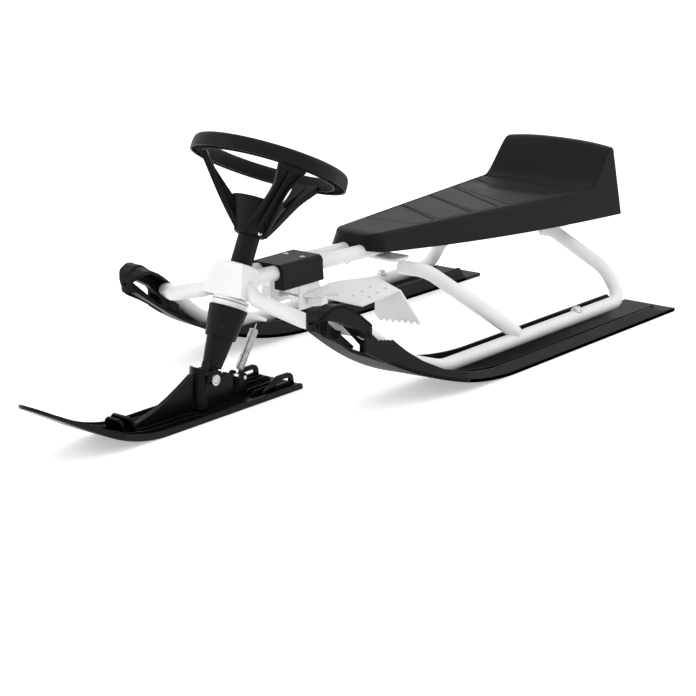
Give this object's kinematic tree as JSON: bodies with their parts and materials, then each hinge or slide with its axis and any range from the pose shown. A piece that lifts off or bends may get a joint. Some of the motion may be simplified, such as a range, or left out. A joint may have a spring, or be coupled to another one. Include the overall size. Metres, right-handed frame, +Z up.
{
  "type": "steerable sled",
  "caption": "Steerable snow sled: low plastic seat on a bent white tube frame, black side runners with loop noses, steering wheel on a raked column over a short front ski, claw brake.",
  "frame": {"origin": "on the floor, under the middle of the overall length and on the plane of symmetry", "axes": "+X forward towards the front ski, +Y to the rider's left, +Z up"},
  "size_m": [1.26, 0.497, 0.3943],
  "materials": {
    "runner_plastic": "black moulded polyethylene with a low sheen",
    "frame_paint": "smooth white powder coat on steel tube and sheet",
    "seat_plastic": "charcoal blow-moulded plastic with a fine grain",
    "trim_plastic": "black injection-moulded plastic",
    "ski_plastic": "black moulded plastic, a little glossier than the runners",
    "zinc_steel": "bright zinc plate"
  },
  "bodies": {
    "frame": {"runner_left": "runner_plastic", "runner_right": "runner_plastic", "side_tube_left": "frame_paint", "side_tube_right": "frame_paint", "brace_left": "frame_paint", "brace_right": "frame_paint", "top_tube_left": "frame_paint", "top_tube_right": "frame_paint", "crossbar_front": "frame_paint", "crossbar_rear": "frame_paint", "head_tube": "frame_paint", "head_bracket": "frame_paint", "seat": "seat_plastic", "cover": "trim_plastic", "brake_hanger": "frame_paint"},
    "steering": {"steering_wheel": "trim_plastic", "column_sleeve": "trim_plastic", "steering_shaft": "zinc_steel", "steering_cone": "trim_plastic", "spring_bracket": "frame_paint", "fork_end": "trim_plastic", "return_spring": "zinc_steel"},
    "ski": {"front_ski": "ski_plastic", "pivot_bolt": "zinc_steel", "spring_pin": "zinc_steel"},
    "brake": {"brake_rod": "zinc_steel", "brake_pad_left": "frame_paint", "brake_pad_right": "frame_paint"}
  },
  "joints": [
    {"name": "steering", "type": "hinge", "parent": "frame", "child": "steering", "pos_m": [0.142, 0, 0.334], "axis": [-0.4321, 0, 0.9018], "range_deg": [-32, 32]},
    {"name": "ski_pitch", "type": "hinge", "parent": "steering", "child": "ski", "pos_m": [0.285, 0, 0.045], "axis": [0, 1, 0], "range_deg": [-10, 10], "stiffness_Nm_per_rad": 8, "deforming": ["return_spring"]},
    {"name": "brake", "type": "hinge", "parent": "frame", "child": "brake", "pos_m": [0.09, 0, 0.126], "axis": [0, -1, 0], "range_deg": [0, 45], "stiffness_Nm_per_rad": 1.5, "springref_deg": -17.19}
  ]
}
